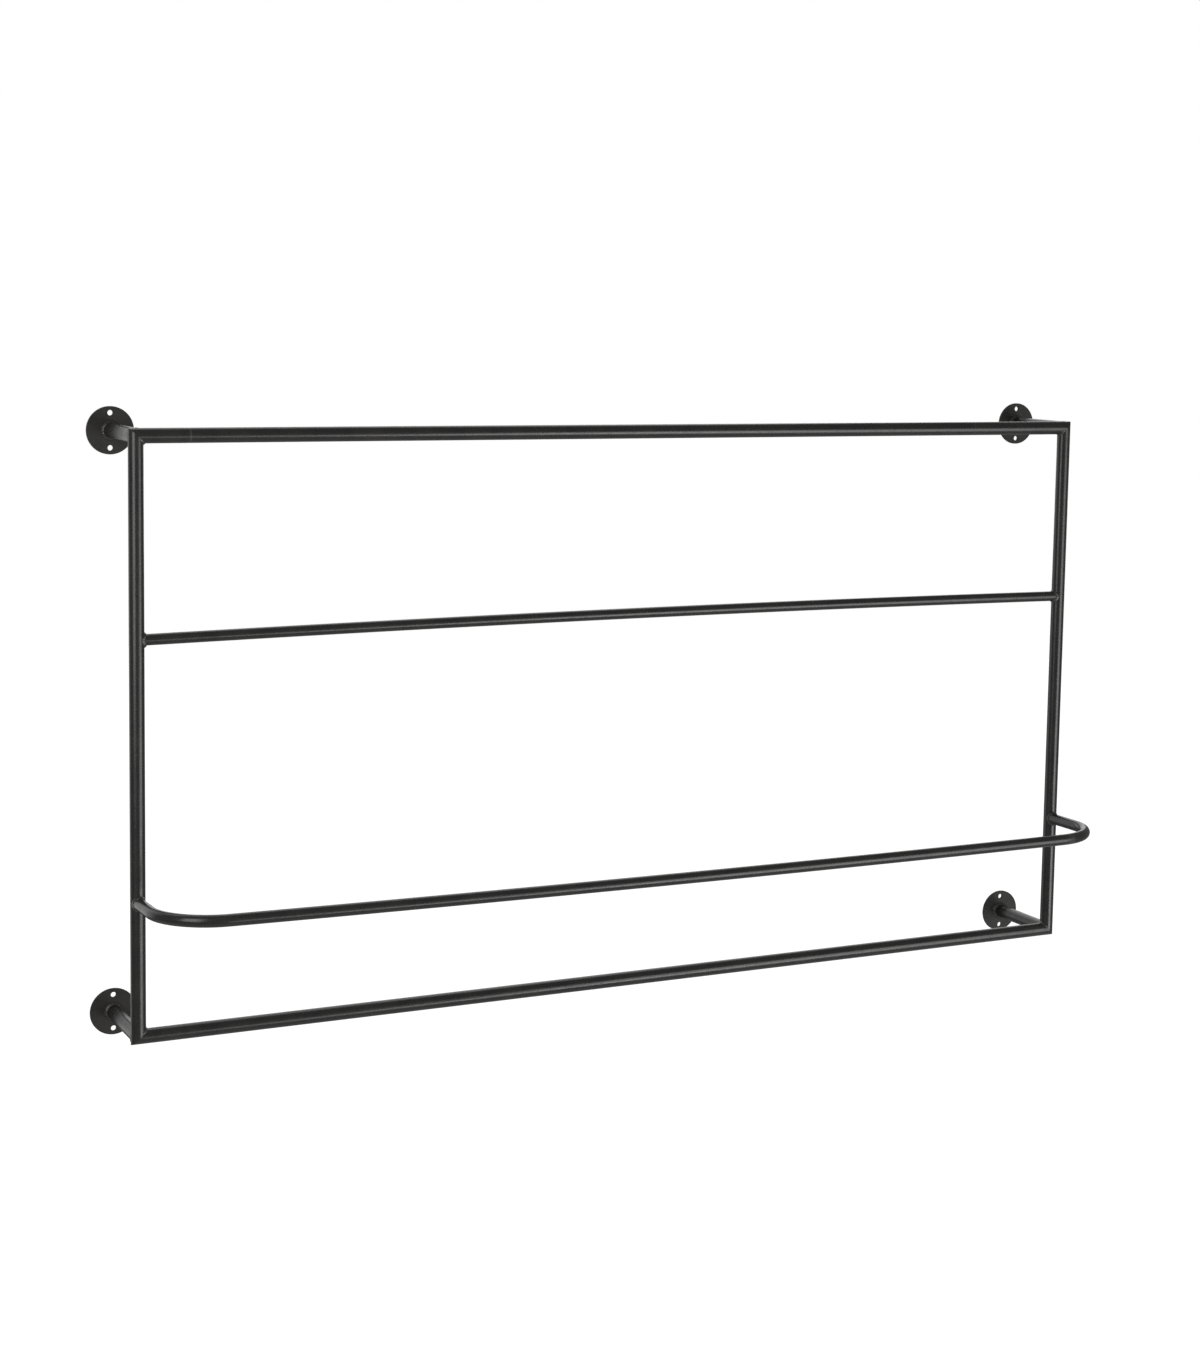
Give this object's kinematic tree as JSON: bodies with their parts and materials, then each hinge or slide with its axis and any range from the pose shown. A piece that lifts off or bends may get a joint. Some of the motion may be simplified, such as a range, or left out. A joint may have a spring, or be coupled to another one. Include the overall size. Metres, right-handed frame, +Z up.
{
  "type": "wall rack",
  "caption": "Wall-mounted rack of welded black round tube: mitred frame on standoffs with round flanges, a thin crossbar and a bent front rail.",
  "frame": {"origin": "on the wall plane, midway between the four wall flanges", "axes": "+X along the rack to the right as seen from the room, +Y into the wall, +Z up; the rack stands in front of the wall towards -Y"},
  "size_m": [1.236, 0.2295, 0.696],
  "materials": {
    "blackened_tube": "satin",
    "flange_plate": "satin",
    "weld_beads": "satin"
  },
  "bodies": {
    "root": {"left_upright": "blackened_tube", "right_upright": "blackened_tube", "top_rail": "blackened_tube", "bottom_rail": "blackened_tube", "crossbar": "blackened_tube", "front_rail": "blackened_tube", "top_left_standoff": "blackened_tube", "top_right_standoff": "blackened_tube", "bottom_left_standoff": "blackened_tube", "bottom_right_standoff": "blackened_tube", "top_left_flange": "flange_plate", "top_right_flange": "flange_plate", "bottom_left_flange": "flange_plate", "bottom_right_flange": "flange_plate", "top_left_mitre_weld": "weld_beads", "top_right_mitre_weld": "weld_beads", "bottom_left_mitre_weld": "weld_beads", "bottom_right_mitre_weld": "weld_beads", "crossbar_left_weld": "weld_beads", "crossbar_right_weld": "weld_beads", "front_rail_left_weld": "weld_beads", "front_rail_right_weld": "weld_beads", "top_left_standoff_weld": "weld_beads", "top_right_standoff_weld": "weld_beads", "bottom_left_standoff_weld": "weld_beads", "bottom_right_standoff_weld": "weld_beads", "top_left_flange_weld": "weld_beads", "top_right_flange_weld": "weld_beads", "bottom_left_flange_weld": "weld_beads", "bottom_right_flange_weld": "weld_beads"}
  },
  "joints": []
}
